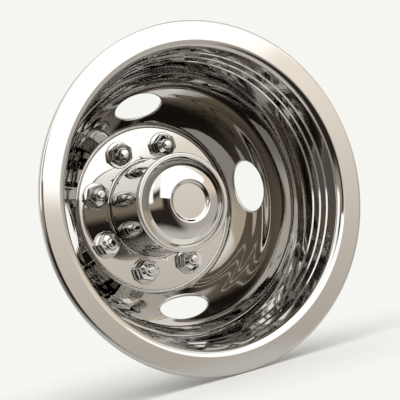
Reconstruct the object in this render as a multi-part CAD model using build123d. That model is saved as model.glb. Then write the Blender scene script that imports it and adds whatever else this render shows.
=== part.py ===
"""Rear wheel simulator for a 16 inch dual wheel: a polished stainless liner, a hub cover and lug nut covers.

Millimetres. The wheel axis is Y, the outer face looks along -Y and +Z is up. The origin is on the axis, in the
front face of the plate that carries the lug nut covers. A profile point is (radius, y), and y grows towards the
truck. Every piece of sheet is given by its front surface, and its bends by the radius on their inner side.
"""

import math
import os

from build123d import *

# Driving dimensions
sheet = 0.9                  # stainless sheet of the liner, the sleeve and the cap

# Lug nut covers
lug_count = 8
lug_circle_d = 165.1
hex_across_flats = 25.4
hex_height = 13.5            # flats of the hexagon, up to the chamfer at the corners
hex_chamfer_deg = 30.0
hex_land = 4.4               # from a flat to the domed end
cover_wall = 1.0
cover_flange_width = 2.5     # flange outside the neck
cover_flange_thick = 2.4
cover_flange_edge = 0.8
cover_dome_rise = 3.8
cover_dome_round_r = 5.0
neck_wall = 1.2
neck_clearance = 0.3
neck_end = 3.4               # end of the neck behind its washer
socket_clearance = 0.29      # between the corners of the socket and the mouth of the neck

# Push-on washers that hold the covers from behind
washer_width = 4.5
washer_thick = 0.8
washer_teeth = 8
washer_tooth_depth = 2.8
washer_slot = 2.0

# Hub sleeve and its cap
sleeve_height = 84.0         # top of the sleeve in front of the plate
sleeve_base_margin = 2.15    # base of the sleeve outside the lug holes
sleeve_base_bend_r = 2.0
sleeve_top_bend_r = 3.1
sleeve_lip = 8.0             # rim turned in at the top of the sleeve
center_hole_clearance = 0.4
center_hole_margin = 0.65    # plate inside the flanges of the covers
cap_overhang = 0.7           # bead of the cap outside the sleeve
cap_bead_width = 5.1
cap_bead_flat = 0.6
cap_bead_bend_r = 0.8
cap_wall_run = 11.6          # from the bead in to the knee
cap_wall_rise = 16.0
cap_knee_bend_r = 23.1
cap_crown_rise = 3.4
cap_recess_edge_r = 26.6
cap_recess_taper = 3.6
cap_recess_depth = 3.0
cap_edge_bend_r = 0.6
cap_spigot_short = 0.2       # the spigot ends short of the straight wall of the sleeve
cap_spigot_clearance = 0.3

# Wheel liner, from the plate out to the rolled edge
plate_margin = 5.0           # plate outside the base of the sleeve
plate_rim_r = 1.2
groove_width = 2.0
groove_depth = 4.5           # groove round the plate, measured at the corner of its profile
groove_bend_r = 0.8
ring_edge_width = 3.4        # from the corner of the groove to the inner edge of the ring
ring_edge_rise = 4.6         # inner edge of the ring in front of the plate
ring_edge_bend_r = 1.5
ring_slope_deg = 34.0        # at its inner edge
ring_straight = 2.0          # from the inner edge to the start of the bowl
ring_bend_r = 140.0          # bowl that turns the ring into the barrel
barrel_draft_deg = 11.2
step_count = 3               # stiffening steps pressed into the barrel
step_start = 70.0            # first step, from the foot of the barrel
step_pitch = 11.0
step_end = 22.0              # from the last step to the flange face
step_rise = 1.4
step_run = 2.0
step_bend_r = 0.7
mouth_bend_r = 8.1           # rounded inner edge of the flange
flange_width = 32.0
edge_bend_r = 3.1            # outer edge of the flange
lip_depth = 10.0             # return lip behind the flange face
lip_turn = 6.5               # hem turned in from the return lip
lip_bend_r = 2.1

# Hand holes in the bowl between the plate and the barrel
hand_hole_count = 4
hand_hole_length = 66.5      # clear size, along the circumference
hand_hole_width = 37.0       # clear size, up the bowl
hand_hole_margin = 6.4       # up the bowl, from its start to a hole
hand_hole_lip = 3.0          # depth of the turned-back lip
hand_hole_bend_r = 1.0

# Sizes worked out from the ones above
wheel_axis = Axis.Y
seam_deg = 180.0 / hand_hole_count
lug_circle_r = lug_circle_d / 2
lug_phase_deg = 180.0 / lug_count
sheet_stack = 2 * sheet      # plate of the liner and base of the sleeve, under each washer
drill_length = 3 * sheet_stack

hex_r = hex_across_flats / 2
hex_corner_r = hex_r / math.cos(math.pi / 6)
cover_dome_r = hex_r - hex_land
chamfer_height = (hex_corner_r - cover_dome_r) * math.tan(math.radians(hex_chamfer_deg))
cover_height = hex_height + chamfer_height + cover_dome_rise
socket_r = hex_r - cover_wall
mouth_r = socket_r / math.cos(math.pi / 6) + socket_clearance
neck_r = mouth_r + neck_wall
neck_back = sheet_stack + washer_thick + neck_end
lug_hole_r = neck_r + neck_clearance
cover_flange_r = neck_r + cover_flange_width
washer_r = neck_r + washer_width

center_hole_r = lug_circle_r - cover_flange_r - center_hole_margin
sleeve_r = center_hole_r - center_hole_clearance - sleeve_base_bend_r
sleeve_base_r = lug_circle_r + lug_hole_r + sleeve_base_margin
sleeve_mouth_r = sleeve_r - sleeve_lip
cap_bead_r = sleeve_r + cap_overhang
cap_bead_height = 2 * (cap_bead_bend_r + sheet) + cap_bead_flat
cap_spigot = sleeve_top_bend_r + sheet - cap_spigot_short
cap_spigot_r = sleeve_mouth_r - cap_edge_bend_r - cap_spigot_clearance

ring_slope = math.radians(ring_slope_deg)
barrel_draft = math.radians(barrel_draft_deg)
plate_r = sleeve_base_r + plate_margin
groove_r = plate_r + groove_width
ring_edge_r = groove_r + ring_edge_width
ring_length = ring_straight + ring_bend_r * math.tan((math.pi / 2 - barrel_draft - ring_slope) / 2)
hand_hole_up = hand_hole_margin + hand_hole_width / 2
barrel_length = step_start + (step_count - 1) * step_pitch + step_run + step_end


def on_ring(distance):
    """Profile point on the slope of the ring's inner edge; the foot of the barrel is the far end of that slope."""
    return ring_edge_r + distance * math.cos(ring_slope), -ring_edge_rise - distance * math.sin(ring_slope)


def bowl_slope(up):
    """Slope of the bowl at a length of arc up from its start."""
    return ring_slope + up / ring_bend_r


def on_bowl(up, depth=0.0):
    """Profile point at a length of arc up the bowl and a depth behind its front surface."""
    start_r, start_y = on_ring(ring_straight)
    center_r = start_r - ring_bend_r * math.sin(ring_slope)
    center_y = start_y - ring_bend_r * math.cos(ring_slope)
    slope, radius = bowl_slope(up), ring_bend_r + depth
    return center_r + radius * math.sin(slope), center_y + radius * math.cos(slope)


def spun(section):
    """A section spun round the wheel axis, with its seam halfway between two hand holes."""
    return Rot(0, seam_deg, 0) * revolve(section, wheel_axis)


def front_radii(points, bends, side):
    """Radii of the bends on the front surface: larger by the sheet where the sheet lies on their inner side."""
    for (ax, ay), (bx, by), (cx, cy), bend in zip(points, points[1:], points[2:], bends):
        left_turn = (bx - ax) * (cy - by) > (by - ay) * (cx - bx)
        yield bend + sheet if left_turn == (side == Side.LEFT) else bend


def pressed_sheet(points, bends, side):
    """One pressed sheet: a chain of lines with rounded bends, thickened to one side and spun round the axis."""
    front = FilletPolyline(*points, radius=list(front_radii(points, bends, side)))
    return spun(make_face(offset(front, amount=sheet, side=side)))


def around(count, phase_deg, radius, y=0.0):
    """Planes spread evenly round the wheel axis, each with X outwards and Z to the front."""
    for k in range(count):
        turn = math.radians(phase_deg + 360.0 * k / count)
        out = Vector(math.cos(turn), 0, math.sin(turn))
        yield Plane(origin=out * radius + Vector(0, y, 0), x_dir=out, z_dir=(0, -1, 0))


def lug_places():
    return around(lug_count, lug_phase_deg, lug_circle_r)


def lug_holes():
    """Drills for the necks of the lug nut covers."""
    return [place * Cylinder(lug_hole_r, drill_length) for place in lug_places()]


def barrel_points():
    """Profile of the barrel from its foot to the flange, with its pressed steps."""
    foot_r, foot_y = on_ring(ring_length)
    flare = math.tan(barrel_draft)
    points = [(foot_r, foot_y)]
    for k in range(step_count):
        up = step_start + k * step_pitch
        radius = foot_r + flare * up + k * step_rise
        points += [(radius, foot_y - up), (radius + step_rise, foot_y - up - step_run)]
    return points + [(foot_r + flare * barrel_length + step_count * step_rise, foot_y - barrel_length)]


def hand_hole_planes():
    """Planes of the hand holes: X along the circumference, Z along the normal to the front."""
    slope = bowl_slope(hand_hole_up)
    inward, forward = math.sin(slope), math.cos(slope)
    for place in around(hand_hole_count, 0.0, *on_bowl(hand_hole_up)):
        normal = place.z_dir * forward - place.x_dir * inward
        yield Plane(origin=place.origin, x_dir=place.y_dir, z_dir=normal)


def hand_hole_punch(hole, margin):
    """Oval bar through one hand hole, larger than its clear size by a margin all round."""
    reach = hand_hole_length / 2
    oval = Ellipse(hand_hole_length / 2 + margin, hand_hole_width / 2 + margin)
    return extrude(hole.offset(-reach) * oval, 2 * reach)


def hand_hole_lips(holes):
    """Collars from inside the sheet to behind the bowl, one round each hand hole, of an even depth."""
    reach = (0.0, hand_hole_up, 2 * hand_hole_up)
    root = ThreePointArc(*(on_bowl(up, sheet / 2) for up in reach))
    end = ThreePointArc(*(on_bowl(up, hand_hole_lip) for up in reach))
    band = spun(make_face([root, end, Line(root @ 0, end @ 0), Line(root @ 1, end @ 1)]))
    return [hand_hole_punch(hole, sheet) & band for hole in holes]


def rim_height(edge, hole):
    """How far the middle of a rim edge stands in front of its hole's plane, or None for an edge elsewhere."""
    from_hole = edge.center(CenterOf.BOUNDING_BOX) - hole.origin
    return from_hole.dot(hole.z_dir) if from_hole.length < hand_hole_width / 2 else None


def round_lip(liner, hole):
    """Bends the sheet into the lip of one hand hole: first the inner side of the bend, then the outer side."""
    for order, bend in ((1, hand_hole_bend_r), (0, hand_hole_bend_r + sheet)):
        rims = [edge for edge in liner.edges() if edge.is_closed and rim_height(edge, hole) is not None]
        rims.sort(key=lambda edge: -rim_height(edge, hole))
        liner = fillet(rims[order], bend)
    return liner


def make_wheel_liner():
    barrel = barrel_points()
    mouth_r, face_y = barrel[-1]
    flange_r = mouth_r + flange_width
    points = [(center_hole_r, 0), (plate_r, 0), (groove_r, groove_depth), on_ring(0), *barrel]
    points += [(flange_r, face_y), (flange_r, face_y + lip_depth), (flange_r - lip_turn, face_y + lip_depth)]
    bends = [plate_rim_r, groove_bend_r, ring_edge_bend_r, ring_bend_r, *[step_bend_r] * (2 * step_count)]
    bends += [mouth_bend_r, edge_bend_r, lip_bend_r]
    liner = pressed_sheet(points, bends, Side.LEFT)

    holes = list(hand_hole_planes())
    for hole, lip in zip(holes, hand_hole_lips(holes)):
        liner = round_lip(liner + lip - hand_hole_punch(hole, 0.0), hole)
    return liner - lug_holes()


def make_hub_sleeve():
    top = -sleeve_height
    points = [(sleeve_base_r, sheet), (sleeve_r, sheet), (sleeve_r, top), (sleeve_mouth_r, top)]
    return pressed_sheet(points, [sleeve_base_bend_r, sleeve_top_bend_r], Side.RIGHT) - lug_holes()


def make_hub_cap():
    """Cap on the sleeve: a recess, a crown, a knee, a wall, a bead folded under itself and a spigot."""
    seat = -sleeve_height
    shoulder_r = cap_bead_r - cap_bead_width
    shoulder = seat - cap_bead_height
    knee = shoulder - cap_wall_rise
    crown = knee - cap_crown_rise
    corners = [
        ((cap_recess_edge_r - cap_recess_taper, crown + cap_recess_depth), cap_edge_bend_r),
        ((cap_recess_edge_r, crown), cap_edge_bend_r),
        ((shoulder_r - cap_wall_run, knee), cap_knee_bend_r),
        ((shoulder_r, shoulder), cap_edge_bend_r),
        ((cap_bead_r, shoulder), cap_bead_bend_r),
        ((cap_bead_r, seat), cap_bead_bend_r),
        ((cap_spigot_r, seat), cap_edge_bend_r),
    ]
    points, bends = zip(*corners)
    centre, end = (0, crown + cap_recess_depth), (cap_spigot_r, seat + cap_spigot)
    return pressed_sheet([centre, *points, end], bends, Side.LEFT)


def eased_disc(radius, height, ease, size):
    """A disc on the XY plane with its upper edge eased by a fillet or a chamfer."""
    disc = extrude(Circle(radius), height)
    return ease(disc.edges().group_by(Axis.Z)[-1], size)


def hexagon(flat_r, height):
    return extrude(RegularPolygon(flat_r, 6, major_radius=False), height)


def lug_nut_cover():
    """One cover with its axis on Z: a flange on the plate, a chamfered hexagon, a domed end and a neck."""
    hex_top = hex_height + chamfer_height
    outline = [(0, 0), (hex_corner_r, 0), (hex_corner_r, hex_height), (cover_dome_r, hex_top), (0, hex_top)]
    crown = Polyline(*outline, close=True)
    body = hexagon(hex_r, hex_top) & revolve(Plane.XZ * make_face(crown), Axis.Z)
    body += eased_disc(cover_flange_r, cover_flange_thick, chamfer, cover_flange_edge)
    body += eased_disc(cover_dome_r, cover_height, fillet, cover_dome_round_r)
    body += extrude(Circle(neck_r), -neck_back)

    body -= Pos(0, 0, -neck_back) * extrude(Circle(mouth_r), neck_back + cover_wall)
    body -= hexagon(socket_r, hex_height - cover_wall)
    hollow_r, hollow_height = cover_dome_r - cover_wall, cover_height - cover_wall
    return body - eased_disc(hollow_r, hollow_height, chamfer, cover_dome_round_r - cover_wall)


def push_on_washer():
    """One washer with its axis on Z and its front face at Z 0: a thin ring with teeth that grip the neck."""
    ring = Circle(washer_r) - Circle(neck_r)
    slot = Pos(neck_r, 0) * Rectangle(2 * washer_tooth_depth, washer_slot)
    ring -= [Rot(0, 0, 360 * k / washer_teeth) * slot for k in range(washer_teeth)]
    return extrude(ring, -washer_thick)


os.makedirs("parts", exist_ok=True)
parts = {"wheel_liner": make_wheel_liner(), "hub_sleeve": make_hub_sleeve(), "hub_cap": make_hub_cap()}
cover, washer = lug_nut_cover(), Pos(0, 0, -sheet_stack) * push_on_washer()
for number, place in enumerate(lug_places(), start=1):
    parts[f"lug_nut_cover_{number}"] = place * cover
    parts[f"cover_washer_{number}"] = place * washer
for name, part in parts.items():
    export_step(part, f"parts/{name}.step")
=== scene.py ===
"""Looks of a polished stainless wheel simulator: a deep spun liner, a hub sleeve with its cap and eight lug nut covers.

The frame is the CAD's: the wheel axis is Y, the outer face looks along -Y, +Z is up and the origin is in the plate.
Profiles are (radius, y) in millimetres, and meshes are written in metres.
"""

import math

import bmesh
import bpy
import numpy as np
from mathutils import Matrix, Vector


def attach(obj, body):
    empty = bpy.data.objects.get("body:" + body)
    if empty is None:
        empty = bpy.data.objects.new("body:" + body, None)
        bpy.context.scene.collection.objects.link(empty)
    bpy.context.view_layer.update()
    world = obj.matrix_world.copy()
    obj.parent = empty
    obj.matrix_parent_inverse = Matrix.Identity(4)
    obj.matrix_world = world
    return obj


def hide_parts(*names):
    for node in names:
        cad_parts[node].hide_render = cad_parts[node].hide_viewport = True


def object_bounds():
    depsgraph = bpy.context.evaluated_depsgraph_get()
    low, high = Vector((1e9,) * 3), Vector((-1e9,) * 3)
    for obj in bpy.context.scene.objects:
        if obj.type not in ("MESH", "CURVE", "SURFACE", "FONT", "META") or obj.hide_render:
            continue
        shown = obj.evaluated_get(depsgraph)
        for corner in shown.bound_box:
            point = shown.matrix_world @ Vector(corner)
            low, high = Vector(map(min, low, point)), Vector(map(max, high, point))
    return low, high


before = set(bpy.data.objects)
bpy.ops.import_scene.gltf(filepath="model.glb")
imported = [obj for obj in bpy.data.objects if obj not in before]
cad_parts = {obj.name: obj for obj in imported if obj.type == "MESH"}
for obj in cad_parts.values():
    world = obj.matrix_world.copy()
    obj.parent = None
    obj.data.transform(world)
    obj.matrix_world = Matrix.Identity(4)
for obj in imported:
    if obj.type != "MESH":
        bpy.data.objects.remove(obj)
cad_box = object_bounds()

MM = 0.001
sheet = 0.9

# Wheel liner
plate_r, center_hole_r, plate_rim_bend = 105.0, 64.4, 2.1
groove_r, groove_depth, groove_bend = 107.0, 4.5, 0.8
ring_edge_r, ring_edge_rise, ring_edge_bend = 110.4, 4.6, 2.4
ring_slope, ring_straight, bowl_bend = math.radians(34.0), 2.0, 140.0
barrel_draft, barrel_length = math.radians(11.2), 116.0
step_count, step_start, step_pitch, step_rise, step_run = 3, 70.0, 11.0, 1.4, 2.0
step_outer_bend, step_inner_bend = 1.6, 0.7
mouth_bend, flange_width, edge_bend = 9.0, 32.0, 4.0
lip_depth, lip_turn, lip_bend = 10.0, 6.5, 3.0

# Bowl between the ring's inner edge and the barrel: its turn in radians, its length of arc and the arc's centre
bowl_turn = math.pi / 2 - barrel_draft - ring_slope
bowl_length = bowl_bend * bowl_turn
bowl_r = ring_edge_r + ring_straight * math.cos(ring_slope) - bowl_bend * math.sin(ring_slope)
bowl_y = -ring_edge_rise - ring_straight * math.sin(ring_slope) - bowl_bend * math.cos(ring_slope)

# Swell of the bowl behind its arc: where it starts, where it is highest and its height there
swell_start, swell_top, swell_height = 18.0, 73.0, 3.8

# Hand holes in the bowl
hand_hole_count, hand_hole_up = 4, 24.9
hand_hole_length, hand_hole_width, hand_hole_lip, hand_hole_bend = 66.5, 37.0, 3.0, 1.9
hole_zone = 23.0             # half of the stretch of bowl that the patches round the holes fill

# Lug nut covers
lug_count, lug_circle_r, lug_hole_r = 8, 82.55, 15.3
hex_flat_r, hex_height, chamfer_top, dome_r, cover_height = 12.7, 13.5, 17.17, 8.3, 20.97
dome_round, dome_flat_r = 5.0, 3.3   # rounding of the domed end, and the flat inside it
flange_r, flange_top, neck_r, mouth_r, neck_back, socket_r, cover_wall = 17.5, 2.4, 15.0, 13.8, 6.0, 11.7, 1.0

# Hub sleeve and its cap
sleeve_r, sleeve_base_r, sleeve_base_bend, sleeve_top_bend, sleeve_lip = 62.0, 100.0, 2.0, 4.0, 8.0
sleeve_height = 84.0
cap_bead_r, cap_bead_width, cap_bead_height, cap_bead_bend = 62.7, 5.1, 4.0, 1.7
cap_wall_run, cap_wall_rise, cap_knee_bend, cap_crown_rise = 11.6, 16.0, 36.0, 3.4
cap_recess_edge_r, cap_recess_taper, cap_recess_depth, cap_recess_bend = 26.6, 3.6, 3.0, 3.2
cap_edge_bend = 1.5
cap_spigot_r, cap_spigot = 53.1, 3.8

spin_steps = 224             # facets round the wheel axis, a multiple of 8
bend_guard = 0.35            # from a bend to the extra point on the line beside it
plate_zone_margin, base_zone_margin = 4.5, 0.6   # from the drilled flats to the bends beside them


def rounded_profile(corners):
    """Chain of straight lines through (radius, y, bend) corners, with each bend an arc that touches both its lines.

    An arc of turn a and radius b starts b * tan(a / 2) before its corner. A line gets a point close to each end, so
    that the shading of a bend stays off the flat beside it.
    """
    spots = np.array([corner[:2] for corner in corners], float)
    bends = [corner[2] if len(corner) > 2 else 0.0 for corner in corners]
    runs = [spots[:1]]
    for before, corner, after, bend in zip(spots, spots[1:], spots[2:], bends[1:]):
        into, out = corner - before, after - corner
        into, out = into / np.hypot(*into), out / np.hypot(*out)
        turn = math.atan2(into[0] * out[1] - into[1] * out[0], into @ out)
        side = math.copysign(1.0, turn) * np.array([-into[1], into[0]])
        start = corner - into * bend * math.tan(abs(turn) / 2)
        sweep = np.linspace(0.0, abs(turn), max(3, math.ceil(abs(turn) / math.radians(8.0))) + 1)[:, None]
        runs.append(start + bend * (np.sin(sweep) * into + (1 - np.cos(sweep)) * side))
    runs.append(spots[-1:])
    joined = [runs[0]]
    for last, run in zip(runs, runs[1:]):
        gap = run[0] - last[-1]
        length = np.hypot(*gap)
        if length > 1.5:
            inside = np.array([[bend_guard], [length - bend_guard]])
            joined.append(last[-1] + inside * gap / length)
        joined.append(run)
    return np.concatenate(joined)


def offset_profile(profile, distance):
    """Profile moved sideways by a distance, to the left of its direction: along the mean normal of the two edges
    at a point, divided by the cosine of half their turn."""
    edges = np.diff(profile, axis=0)
    edges = edges / np.linalg.norm(edges, axis=1, keepdims=True)
    normals = np.stack([-edges[:, 1], edges[:, 0]], axis=1)
    before, after = np.vstack([normals[:1], normals]), np.vstack([normals, normals[-1:]])
    mean = before + after
    return profile + distance * 2 * mean / np.sum(mean * mean, axis=1, keepdims=True)


def spun(profile, angles):
    """Grid of a (radius, y) profile turned about the wheel axis: x = radius cos a, z = radius sin a."""
    radius, y = profile[:, :1], profile[:, 1:]
    return np.stack([radius * np.cos(angles), y + 0 * angles, radius * np.sin(angles)], axis=-1)


def full_turn():
    """Angles of one turn about the wheel axis, with the first again as the last."""
    return np.linspace(0.0, 2 * math.pi, spin_steps + 1)


def smooth_step(value, low, high):
    """0 at low, 1 at high and 6 t^5 - 15 t^4 + 10 t^3 between them, with t the share of the way."""
    t = np.clip((value - low) / (high - low), 0.0, 1.0)
    return t ** 3 * (6 * t * t - 15 * t + 10)


def bowl_swell(up):
    """Height of the swell, which rises and falls again in smooth steps."""
    rise, fall = smooth_step(up, swell_start, swell_top), smooth_step(up, bowl_length, swell_top)
    return swell_height * rise * fall


def bowl_profile(up, depth=0.0):
    """Arc of the bowl: radius = r0 + b sin a, y = y0 + b cos a, with a the slope at a length of arc up from its start.

    The reach b is the bend, the depth behind the front surface and the swell.
    """
    slope, reach = ring_slope + up / bowl_bend, bowl_bend + depth + bowl_swell(up)
    return np.stack([bowl_r + reach * np.sin(slope), bowl_y + reach * np.cos(slope)], axis=-1)


def bowl_point(up, angle, depth=0.0):
    """Point of the bowl turned round the wheel axis."""
    radius, y = np.moveaxis(bowl_profile(up, depth), -1, 0)
    return np.stack([radius * np.cos(angle), y, radius * np.sin(angle)], axis=-1)


def bowl_normals(points):
    """Normals of the points that lie on either side of the bowl, and zeros for all others.

    With n along the bowl's radius, t along its arc, reach b and swell rise s per length of arc, the back looks along
    b / bend n - s t and the front the other way.
    """
    x, y, z = points.T
    radius = np.hypot(x, z)
    slope, reach = np.arctan2(radius - bowl_r, y - bowl_y), np.hypot(radius - bowl_r, y - bowl_y)
    up = (slope - ring_slope) * bowl_bend
    depth = reach - bowl_bend - bowl_swell(up)
    close = 0.01
    side = 1.0 * (np.abs(depth - sheet) < close) - 1.0 * (np.abs(depth) < close)
    side = side * (up > 0.0) * (up < bowl_length)
    stretch, rise = reach / bowl_bend, (bowl_swell(up + close) - bowl_swell(up - close)) / (2 * close)
    outward = stretch * np.sin(slope) - rise * np.cos(slope)
    along_y = stretch * np.cos(slope) + rise * np.sin(slope)
    return (side / np.hypot(outward, along_y) * np.stack([outward * x / radius, along_y, outward * z / radius])).T


def sector_border(low, high, half_angle, middle, columns, rows):
    """Outline of a sector of a ring in (up, angle), once round, and the turn at which each point looks at the
    middle of the sector. The long sides are cut like a full turn, so that neighbours share their points."""
    across = np.linspace(-half_angle, half_angle, columns + 1)
    upward = np.linspace(low, high, rows + 1)
    up = np.concatenate([np.full(columns, low), upward[:-1], np.full(columns, high), upward[:0:-1], [low]])
    angle = np.concatenate([across[:-1], np.full(rows, half_angle), across[:0:-1], np.full(rows, -half_angle),
                            [-half_angle]])
    turn = np.arctan2((up - middle) / (high - low), angle / (2 * half_angle))
    return up, angle, turn


def fan(rim, border, steps=12):
    """Grid from a hole's rim to its sector's border: rim + (border - rim) * t ** 1.4, in (up, angle)."""
    t = np.linspace(0.0, 1.0, steps + 1)[:, None] ** 1.4
    return [inner + (outer - inner) * t for inner, outer in zip(rim, border)]


def hand_hole_rim(turn, spread, depth):
    """Oval bar through the hand hole at angle 0, where it meets the bowl at a depth, as (up, angle).

    The oval lies flat in the hole's plane: x = (length / 2 + spread) cos t, v = (width / 2 + spread) sin t. The height
    h along the hole's normal at which a point is the right distance from the bowl's centre comes from Newton's method.
    The swell is left out here. It moves the edge along the bowl's normal, which widens the oval by about 0.2 mm.
    """
    middle_r, middle_y = bowl_profile(hand_hole_up)
    slope = ring_slope + hand_hole_up / bowl_bend
    s, c = math.sin(slope), math.cos(slope)
    x = (hand_hole_length / 2 + spread) * np.cos(turn)
    v = (hand_hole_width / 2 + spread) * np.sin(turn)
    h = 0 * x
    for _ in range(6):
        out, y = middle_r + v * c - h * s, middle_y - v * s - h * c - bowl_y
        radius = np.hypot(out, x)
        far = np.hypot(radius - bowl_r, y)
        h = h + (far - bowl_bend - depth) * far / ((radius - bowl_r) * out / radius * s + y * c)
    return (np.arctan2(radius - bowl_r, y) - ring_slope) * bowl_bend, np.arctan2(x, out)


def hand_hole_lip_grid(turn):
    """Lip of the hand hole at angle 0: a profile of (spread, depth) carried round the oval.

    The profile bends back over a quarter circle, runs to the end of the lip, crosses the sheet and returns over a
    smaller quarter circle to the back of the bowl.
    """
    inner_bend = hand_hole_bend - sheet
    guard, corner = 0.3, 0.08
    quarter = np.radians(np.linspace(0.0, 90.0, 8))
    front = np.stack([hand_hole_bend * (1 - np.sin(quarter)), hand_hole_bend * (1 - np.cos(quarter))], axis=1)
    wall = np.array([[0.0, hand_hole_bend + guard], [0.0, hand_hole_lip - guard], [0.0, hand_hole_lip - corner],
                     [corner, hand_hole_lip], [sheet - corner, hand_hole_lip], [sheet, hand_hole_lip - corner],
                     [sheet, hand_hole_bend + guard]])
    back = np.stack([sheet + inner_bend * (1 - np.cos(quarter)), sheet + inner_bend * (1 - np.sin(quarter))], axis=1)
    spread, depth = np.concatenate([front, wall, back]).T[:, :, None]
    return bowl_point(*hand_hole_rim(turn, spread, depth), depth)


def turned(grid, angle):
    """Grid turned about the wheel axis by an angle, from +X towards +Z."""
    c, s = math.cos(angle), math.sin(angle)
    return grid @ np.array([[c, 0.0, s], [0.0, 1.0, 0.0], [-s, 0.0, c]])


def hand_hole_patches():
    """Grids of the stretch of bowl round the hand holes: front, back and lip of each sector."""
    columns = spin_steps // hand_hole_count
    half = math.pi / hand_hole_count
    up, angle, turn = sector_border(hand_hole_up - hole_zone, hand_hole_up + hole_zone, half, hand_hole_up, columns, 12)
    front = bowl_point(*fan(hand_hole_rim(turn, hand_hole_bend, 0.0), (up, angle)))
    back = bowl_point(*fan(hand_hole_rim(turn, hand_hole_bend, sheet), (up, angle)), sheet)
    places = 2 * half * np.arange(hand_hole_count)
    return [turned(grid, place) for place in places for grid in (front, back, hand_hole_lip_grid(turn))]


def lug_hole_patches(low, high, front_y):
    """Grids of a flat ring drilled for the lug nut covers: front, back and the wall of the hole in each sector."""
    columns = spin_steps // lug_count
    half = math.pi / lug_count
    up, angle, turn = sector_border(low, high, half, lug_circle_r, columns, 8)
    x, z = lug_circle_r + lug_hole_r * np.sin(turn), lug_hole_r * np.cos(turn)
    rim_up, rim_angle = np.hypot(x, z), np.arctan2(z, x)
    radius, round_angle = fan((rim_up, rim_angle), (up, angle), 6)
    flat = np.stack([radius * np.cos(round_angle), 0 * radius + front_y, radius * np.sin(round_angle)], axis=-1)
    back = flat + np.array([0.0, sheet, 0.0])
    places = half + 2 * half * np.arange(lug_count)
    return [turned(grid, place) for place in places for grid in (flat, back, np.stack([flat[0], back[0]]))]


def sheet_grids(front, back, ends):
    """Grids of a spun sheet from the profiles of its two sides, with a closing edge at each named end."""
    front, back = spun(front, full_turn()), spun(back, full_turn())
    return [front, back] + [np.stack([front[end], back[end]]) for end in ends]


def liner_grids():
    """Plate with lug holes, groove, bowl with hand holes, stepped barrel, flange and rolled edge."""
    def on_ring(distance):
        return ring_edge_r + distance * math.cos(ring_slope), -ring_edge_rise - distance * math.sin(ring_slope)

    plate_zone = plate_r - plate_zone_margin
    plate_to_bowl = rounded_profile([
        (plate_zone, 0.0), (plate_r, 0.0, plate_rim_bend), (groove_r, groove_depth, groove_bend),
        (*on_ring(0.0), ring_edge_bend), on_ring(ring_straight)])
    foot_r, foot_y = on_ring(ring_straight + bowl_bend * math.tan(bowl_turn / 2))
    flare = math.tan(barrel_draft)
    mouth_r, face_y = foot_r + flare * barrel_length + step_count * step_rise, foot_y - barrel_length
    outer_r = mouth_r + flange_width
    steps = []
    for k in range(step_count):
        up = step_start + k * step_pitch
        radius = foot_r + flare * up + k * step_rise
        steps += [(radius, foot_y - up, step_outer_bend), (radius + step_rise, foot_y - up - step_run, step_inner_bend)]
    barrel_to_edge = rounded_profile([
        bowl_profile(bowl_length), *steps, (mouth_r, face_y, mouth_bend), (outer_r, face_y, edge_bend),
        (outer_r, face_y + lip_depth, lip_bend), (outer_r - lip_turn, face_y + lip_depth)])
    inner_bowl = np.linspace(0.0, hand_hole_up - hole_zone, 3)[1:]
    outer_bowl = np.linspace(hand_hole_up + hole_zone, bowl_length, 21)[:-1]
    inside = [np.concatenate([offset_profile(plate_to_bowl, depth), bowl_profile(inner_bowl, depth)])
              for depth in (0.0, sheet)]
    outside = [np.concatenate([bowl_profile(outer_bowl, depth), offset_profile(barrel_to_edge, depth)])
               for depth in (0.0, sheet)]
    center = np.array([[center_hole_r, 0.0], [center_hole_r, sheet]])
    return [*lug_hole_patches(center_hole_r, plate_zone, 0.0), spun(center, full_turn()),
            *sheet_grids(*inside, ()), *hand_hole_patches(), *sheet_grids(*outside, (-1,))]


def sleeve_grids():
    """Base drilled for the covers, cylinder, and rim turned in at the top."""
    base_zone = sleeve_r + sleeve_base_bend + base_zone_margin
    profile = rounded_profile([(base_zone, sheet), (sleeve_r, sheet, sleeve_base_bend),
                               (sleeve_r, -sleeve_height, sleeve_top_bend), (sleeve_r - sleeve_lip, -sleeve_height)])
    outside = np.array([[sleeve_base_r, sheet], [sleeve_base_r, 2 * sheet]])
    return [*lug_hole_patches(base_zone, sleeve_base_r, sheet), spun(outside, full_turn()),
            *sheet_grids(profile, offset_profile(profile, -sheet), (-1,))]


def cap_grids():
    """Recess, crown, knee, wall, bead folded under itself and spigot."""
    seat = -sleeve_height
    shoulder_r, shoulder = cap_bead_r - cap_bead_width, seat - cap_bead_height
    knee = shoulder - cap_wall_rise
    crown = knee - cap_crown_rise
    floor = crown + cap_recess_depth
    profile = rounded_profile([
        (0.0, floor), (cap_recess_edge_r - cap_recess_taper, floor, cap_recess_bend - sheet),
        (cap_recess_edge_r, crown, cap_recess_bend), (shoulder_r - cap_wall_run, knee, cap_knee_bend),
        (shoulder_r, shoulder, cap_edge_bend - sheet), (cap_bead_r, shoulder, cap_bead_bend),
        (cap_bead_r, seat, cap_bead_bend), (cap_spigot_r, seat, cap_edge_bend - sheet),
        (cap_spigot_r, seat + cap_spigot)])
    return sheet_grids(profile, offset_profile(profile, sheet), (-1,))


def hexagon_radius(flat_r, angle, sharpness=40.0):
    """Radius of a hexagon with softened corners: flat_r / (sum of |cos(a - k 60)| ** p) ** (1 / p)."""
    faces = np.abs(np.cos(angle[..., None] - np.radians([0.0, 60.0, 120.0]))) ** sharpness
    return flat_r / faces.sum(axis=-1) ** (1 / sharpness)


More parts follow.
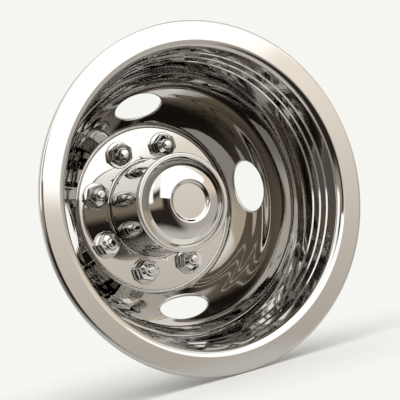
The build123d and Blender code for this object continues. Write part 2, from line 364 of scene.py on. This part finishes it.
def cover_grid():
    """One lug nut cover about the Z axis, from the tip down its outside and back up its inside.

    Each ring of the grid has a height, a round limit and a hexagon limit, and its radius is the smooth smaller of
    the two: (round ** -p + hexagon ** -p) ** (-1 / p).
    """
    free, inner_round = 400.0, dome_round - cover_wall
    slope = (hex_flat_r / math.cos(math.pi / 6) - dome_r) / (chamfer_top - hex_height)
    dome = np.radians(np.linspace(0.0, 76.0, 14))
    chamfer = np.linspace(chamfer_top, hex_height - 0.3, 14)
    flats = np.linspace(hex_height - 0.8, flange_top + 0.6, 9)
    edge = np.radians(np.linspace(0.0, 90.0, 7))
    hollow = np.radians(np.linspace(90.0, 0.0, 9))
    rings = [
        np.stack([0 * dome[:1], 0 * dome[:1] + cover_height, 0 * dome[:1] + free], 1),
        np.stack([dome_flat_r + dome_round * np.sin(dome), cover_height - dome_round + dome_round * np.cos(dome),
                  0 * dome + free], 1),
        np.stack([dome_r + (chamfer_top - chamfer) * slope, chamfer, 0 * chamfer + hex_flat_r], 1),
        np.stack([0 * flats + free, flats, 0 * flats + hex_flat_r], 1),
        [[free, flange_top + 0.2, hex_flat_r + 0.06], [free, flange_top, hex_flat_r + 0.35], [15.9, flange_top, free]],
        np.stack([flange_r - 1.0 + np.sin(edge), flange_top - 1.0 + np.cos(edge), 0 * edge + free], 1),
        [[flange_r, 0.3, free], [flange_r, 0.0, free], [neck_r + 0.3, 0.0, free], [neck_r, -0.3, free],
         [neck_r, 0.3 - neck_back, free], [neck_r - 0.3, -neck_back, free], [mouth_r + 0.3, -neck_back, free],
         [mouth_r, 0.3 - neck_back, free], [mouth_r, cover_wall - 0.2, free], [mouth_r - 0.1, cover_wall, free],
         [free, cover_wall, socket_r + 0.15], [free, cover_wall + 0.3, socket_r],
         [free, hex_height - cover_wall - 0.3, socket_r], [free, hex_height - cover_wall, socket_r - 0.3],
         [dome_r - cover_wall + 0.3, hex_height - cover_wall, free],
         [dome_r - cover_wall, hex_height - cover_wall + 0.3, free]],
        np.stack([dome_flat_r + inner_round * np.sin(hollow), cover_height - dome_round + inner_round * np.cos(hollow),
                  0 * hollow + free], 1),
        [[0.0, cover_height - cover_wall, free]],
    ]
    limit, height, flat_r = np.concatenate(rings).T[:, :, None]
    angle = np.linspace(0.0, 2 * math.pi, 193)
    hexagon = flat_r * hexagon_radius(1.0, angle)
    softness = 30.0
    radius = np.where(limit > 0, (np.maximum(limit, 0.01) ** -softness + hexagon ** -softness) ** (-1 / softness), 0.0)
    return np.stack([radius * np.cos(angle), radius * np.sin(angle), height + 0 * angle], axis=-1)


def cover_at(number):
    """Cover grid set on the lug circle: its X points outwards and its Z to the front."""
    grid = cover_grid()
    upright = np.stack([grid[..., 0] + lug_circle_r, -grid[..., 2], grid[..., 1]], axis=-1)
    return turned(upright, math.pi / lug_count * (2 * number - 1))


def shell(name, grids, node, material, normals=None):
    """Closed mesh from grids that share their borders: quads between neighbouring points, welded, facing outwards.

    A function of the points may give exact normals for some of them.
    """
    points, quads, start = [], [], 0
    for grid in grids:
        rows, columns = grid.shape[:2]
        index = start + np.arange(rows * columns).reshape(rows, columns)
        quads.append(np.stack([index[:-1, :-1], index[:-1, 1:], index[1:, 1:], index[1:, :-1]], axis=-1).reshape(-1, 4))
        points.append(grid.reshape(-1, 3))
        start += rows * columns
    mesh = bpy.data.meshes.new(name)
    mesh.from_pydata(np.concatenate(points) * MM, [], np.concatenate(quads))
    work = bmesh.new()
    work.from_mesh(mesh)
    bmesh.ops.remove_doubles(work, verts=work.verts, dist=2e-6)
    bmesh.ops.dissolve_degenerate(work, edges=work.edges, dist=1e-7)
    bmesh.ops.recalc_face_normals(work, faces=work.faces)
    work.to_mesh(mesh)
    work.free()
    mesh.shade_smooth()
    if normals:
        places = np.empty(3 * len(mesh.vertices))
        mesh.vertices.foreach_get("co", places)
        mesh.normals_split_custom_set_from_vertices(normals(places.reshape(-1, 3) / MM))
    mesh.materials.append(material)
    piece = bpy.data.objects.new(name, mesh)
    bpy.context.scene.collection.objects.link(piece)
    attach(piece, "root")
    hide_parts(node)
    return piece


class Wire:
    """A node socket in arithmetic: each operator adds one Math node to its graph."""

    def __init__(self, graph, socket):
        self.graph, self.socket = graph, socket

    def math(self, operation, *values):
        return self.graph.node("Math", {"operation": operation}, dict(enumerate(values)))

    def __add__(self, other):
        return self.math("ADD", self, other)

    def __radd__(self, other):
        return self.math("ADD", other, self)

    def __sub__(self, other):
        return self.math("SUBTRACT", self, other)

    def __rsub__(self, other):
        return self.math("SUBTRACT", other, self)

    def __mul__(self, other):
        return self.math("MULTIPLY", self, other)

    def __rmul__(self, other):
        return self.math("MULTIPLY", other, self)

    def __truediv__(self, other):
        return self.math("DIVIDE", self, other)

    def __abs__(self):
        return self.math("ABSOLUTE", self)

    def root(self):
        return self.math("SQRT", self)

    def fade(self, low, high):
        """0 at low, 1 at high and a smooth step between them."""
        return self.graph.node("MapRange", {"interpolation_type": "SMOOTHSTEP"},
                               {"Value": self, "From Min": low, "From Max": high})


class Graph:
    """A node tree that starts empty."""

    def __init__(self, tree):
        self.tree = tree
        tree.nodes.clear()

    def node(self, kind, settings=None, sockets=None, out=0):
        """Adds a node: its settings first, then a value or a link for each named or numbered socket."""
        made = self.tree.nodes.new("ShaderNode" + kind)
        for name, value in (settings or {}).items():
            setattr(made, name, value)
        for name, value in (sockets or {}).items():
            if isinstance(value, Wire):
                self.tree.links.new(value.socket, made.inputs[name])
            else:
                made.inputs[name].default_value = value
        return Wire(self, made.outputs[out]) if made.outputs else None

    def blend(self, factor, first, second):
        """Mix of two colours."""
        return self.node("Mix", {"data_type": "RGBA"}, {0: factor, 6: first, 7: second}, 2)

    def parts(self, vector):
        """The x, y and z of a vector."""
        split = self.node("SeparateXYZ", {}, {0: vector}).socket.node
        return [Wire(self, output) for output in split.outputs]


def polished_metal(name, color, roughness, wave_depth, dent_depth):
    """Mirror polished sheet: fine rings and long waves left by spinning, soft haze where it was wiped, and slow dents.

    The waves follow the profile, so they are noise on (radius, y) that changes slowly round the axis. They cover the
    bowl and the barrel and leave the plate and the flange flat. The outer bowl has a ripple as well, a sine of the way
    up its arc that the same noise makes wander.
    """
    material = bpy.data.materials.new(name)
    material.use_nodes = True
    graph = Graph(material.node_tree)
    place = graph.node("TexCoord", out="Object")
    x, y, z = graph.parts(place)
    radius = (x * x + z * z).root()
    around = 0.03                # radius of the circle that one turn makes in the noise, in metres
    along = graph.node("CombineXYZ", {}, {0: radius, 1: y, 2: x / radius * around})
    waves = graph.node("TexNoise", {"noise_dimensions": "4D"},
                       {"Vector": along, "W": z / radius * around, "Scale": 24.0, "Detail": 0.0})
    up = (x.math("ARCTAN2", radius - bowl_r * MM, y - bowl_y * MM) - ring_slope) * bowl_bend
    ripple_pitch, wander = 27.0, 9.0
    ripple = x.math("SINE", up * (2 * math.pi / ripple_pitch) + waves * wander)
    ripple = ripple * up.fade(26.0, 40.0) * up.fade(116.0, 100.0)
    waves = waves * radius.fade(0.106, 0.118) * y.fade(-0.151, -0.142) + ripple
    rings = graph.node("TexNoise", {}, {"Vector": along, "Scale": 900.0, "Detail": 2.0})
    haze = graph.node("TexNoise", {}, {"Vector": place, "Scale": 14.0, "Detail": 4.0}).fade(0.45, 0.75)
    dents = graph.node("TexNoise", {}, {"Vector": place, "Scale": 26.0, "Detail": 1.0})
    tint = graph.blend(haze * 0.5, (*color, 1.0), (*(0.93 * c for c in color), 1.0))
    bump = graph.node("Bump", {}, {"Strength": 1.0, "Distance": wave_depth * MM, "Height": waves})
    bump = graph.node("Bump", {}, {"Strength": 1.0, "Distance": dent_depth * MM, "Height": dents, "Normal": bump})
    metal = graph.node("BsdfPrincipled", {}, {
        "Base Color": tint, "Metallic": 1.0, "Roughness": roughness + haze * 0.04 + rings * 0.03, "Normal": bump})
    graph.node("OutputMaterial", {}, {"Surface": metal})
    return material


def spring_steel():
    """Bright rolled steel with a fine grain along X and a little dulling."""
    material = bpy.data.materials.new("spring_steel")
    material.use_nodes = True
    graph = Graph(material.node_tree)
    place = graph.node("TexCoord", out="Object")
    stretched = graph.node("Mapping", {}, {"Vector": place, "Scale": (60.0, 400.0, 2400.0)})
    grain = graph.node("TexNoise", {}, {"Vector": stretched, "Scale": 1.0, "Detail": 3.0})
    color = graph.blend(grain, (0.36, 0.35, 0.34, 1.0), (0.52, 0.51, 0.49, 1.0))
    metal = graph.node("BsdfPrincipled", {}, {"Base Color": color, "Metallic": 1.0, "Roughness": 0.24 + grain * 0.16})
    graph.node("OutputMaterial", {}, {"Surface": metal})
    return material


def compass(azimuth, elevation):
    """Unit vector towards a direction: azimuth from -Y towards +X and elevation upwards, in degrees."""
    a, e = math.radians(azimuth), math.radians(elevation)
    return Vector((math.sin(a) * math.cos(e), -math.cos(a) * math.cos(e), math.sin(e)))


def studio_world():
    """Room round the wheel, by the compass angles of a direction.

    It is dark in front, brown at eye level and pale on the floor, with a white ceiling, a white sheet above a bent
    border, a beige wall to the right, a window and a dull wall to the left, and behind it white paper between two
    dark strips. The camera sees white paper all round.
    """
    world = bpy.data.worlds.new("studio")
    bpy.context.scene.world = world
    world.use_nodes = True
    graph = Graph(world.node_tree)
    x, y, z = graph.parts(graph.node("TexCoord", out="Generated"))
    azimuth = x.math("ARCTAN2", x, 0 - y) * math.degrees(1)
    elevation = z.math("ARCSINE", z) * math.degrees(1)

    dark, white = (0.0351, 0.0281, 0.0222, 1.0), (1.11, 1.11, 1.09, 1.0)
    level = elevation.fade(-6.0, 5.0) * elevation.fade(24.0, 10.0)
    front = graph.blend(level, dark, (0.491, 0.421, 0.339, 1.0))
    front = graph.blend(azimuth.fade(-20.0, -6.0), front, dark)
    front = graph.blend(elevation.fade(-42.0, -60.0), front, (0.702, 0.667, 0.62, 1.0))
    below_sheet = graph.blend(elevation.fade(-7.0, 6.0), (0.68, 0.63, 0.57, 1.0), (1.6, 1.5, 1.37, 1.0))
    light = graph.blend(azimuth.fade(4.0, 26.0), front, below_sheet)
    wall = graph.blend(elevation.fade(-4.0, 6.0), (0.702, 0.679, 0.643, 1.0), (1.17, 1.03, 0.842, 1.0))
    light = graph.blend(azimuth.fade(34.0, 46.0), light, wall)
    light = graph.blend(azimuth.fade(-66.0, -84.0), light, (0.374, 0.351, 0.316, 1.0))
    light = graph.blend(elevation.fade(22.0, 40.0), light, (1.35, 1.35, 1.33, 1.0))
    window = azimuth.fade(-46.0, -52.0) * elevation.fade(8.0, 14.0)
    light = graph.blend(window, light, (1.75, 1.75, 1.75, 1.0))
    right_of_corner = azimuth - 24.0
    border = right_of_corner.math("MAXIMUM", right_of_corner * 0.52, right_of_corner * -0.32)
    above = elevation - border
    sheet_light = above.fade(-0.8, 0.4) * azimuth.fade(-24.0, -15.0) * azimuth.fade(56.0, 46.0)
    light = graph.blend(sheet_light, light, (1.99, 1.99, 1.97, 1.0))
    behind = graph.blend(elevation.fade(-16.0, 2.0), (0.46, 0.445, 0.42, 1.0), white)
    strip = abs(azimuth).fade(112.0, 118.0) * abs(azimuth).fade(142.0, 134.0)
    behind = graph.blend(strip, behind, (0.22, 0.215, 0.205, 1.0))
    light = graph.blend(y.fade(0.0, 0.2), light, behind)
    camera_ray = graph.node("LightPath", out="Is Camera Ray")
    light = graph.blend(camera_ray, light, (0.92, 0.92, 0.885, 1.0))
    shine = graph.node("Background", {}, {"Color": light})
    graph.node("OutputWorld", {}, {"Surface": shine})


def paper_floor():
    """Pale paper under the wheel, a disc whose edge fades into the paper behind it."""
    reach = np.array([0.0, 0.2, 0.4, 0.6, 0.8, 1.0]) / MM
    angles = np.linspace(0.0, 2 * math.pi, 97)
    grid = spun(np.stack([reach, 0 * reach], axis=1), angles)
    points = np.stack([grid[..., 0], grid[..., 2], 0 * grid[..., 0] + cad_box[0][2] / MM], axis=-1)
    rows, columns = points.shape[:2]
    index = np.arange(rows * columns).reshape(rows, columns)
    quads = np.stack([index[:-1, :-1], index[1:, :-1], index[1:, 1:], index[:-1, 1:]], axis=-1).reshape(-1, 4)
    mesh = bpy.data.meshes.new("paper_floor")
    mesh.from_pydata(points.reshape(-1, 3) * MM, [], quads)
    material = bpy.data.materials.new("pale_paper")
    material.use_nodes = True
    graph = Graph(material.node_tree)
    place = graph.node("TexCoord", out="Object")
    fibre = graph.node("TexNoise", {}, {"Vector": place, "Scale": 40.0, "Detail": 4.0})
    color = graph.blend(fibre, (0.69, 0.685, 0.67, 1.0), (0.72, 0.715, 0.7, 1.0))
    paper = graph.node("BsdfPrincipled", {}, {"Base Color": color, "Roughness": 0.9, "Specular IOR Level": 0.1})
    x, y, z = graph.parts(place)
    gone = (x * x + y * y).root().fade(0.18, 0.5)
    clear = graph.node("BsdfTransparent")
    graph.node("OutputMaterial", {}, {"Surface": graph.node("MixShader", {}, {0: gone, 1: paper, 2: clear})})
    mesh.materials.append(material)
    floor = bpy.data.objects.new("paper_floor", mesh)
    bpy.context.scene.collection.objects.link(floor)


def lamp(name, azimuth, elevation, distance, size, watts):
    """Square soft lamp that faces the wheel."""
    light = bpy.data.lights.new(name, "AREA")
    light.size, light.energy = size, watts
    holder = bpy.data.objects.new(name, light)
    facing = compass(azimuth, elevation)
    holder.location = facing * distance
    holder.rotation_euler = facing.to_track_quat("Z", "Y").to_euler()
    bpy.context.scene.collection.objects.link(holder)


def camera():
    """Camera that matches the photograph: 2.5 m from its aim point, turned about its own line of sight."""
    azimuth, elevation, roll, distance = -27.16, 0.88, -12.92, 2.5
    aim = Vector((0.05395, -0.02773, -0.00316))
    data = bpy.data.cameras.new("camera")
    data.sensor_width, data.lens = 36.0, 174.55
    data.clip_end = 100.0
    holder = bpy.data.objects.new("camera", data)
    back = compass(azimuth, elevation)
    right = Matrix.Rotation(math.radians(roll), 3, back) @ Vector((0, 0, 1)).cross(back).normalized()
    up = back.cross(right)
    turn = Matrix((right, up, back)).transposed().to_4x4()
    holder.matrix_world = Matrix.Translation(aim + back * distance) @ turn
    bpy.context.scene.collection.objects.link(holder)
    bpy.context.scene.camera = holder


stainless = polished_metal("polished_stainless", (0.56, 0.545, 0.52), 0.015, 0.14, 0.005)
chrome = polished_metal("lug_cover_chrome", (0.55, 0.545, 0.53), 0.02, 0.0, 0.004)
shell("liner", liner_grids(), "wheel_liner", stainless, bowl_normals)
shell("sleeve", sleeve_grids(), "hub_sleeve", stainless)
shell("cap", cap_grids(), "hub_cap", stainless)
for number in range(1, lug_count + 1):
    shell(f"lug_cover_{number}", [cover_at(number)], f"lug_nut_cover_{number}", chrome)
washer_steel = spring_steel()
for number in range(1, lug_count + 1):
    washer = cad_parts[f"cover_washer_{number}"]
    washer.data.materials.clear()
    washer.data.materials.append(washer_steel)

studio_world()
paper_floor()
lamp("key_lamp", -12.0, 60.0, 3.0, 3.4, 9.0)
camera()
bpy.context.scene.view_settings.view_transform = "Standard"
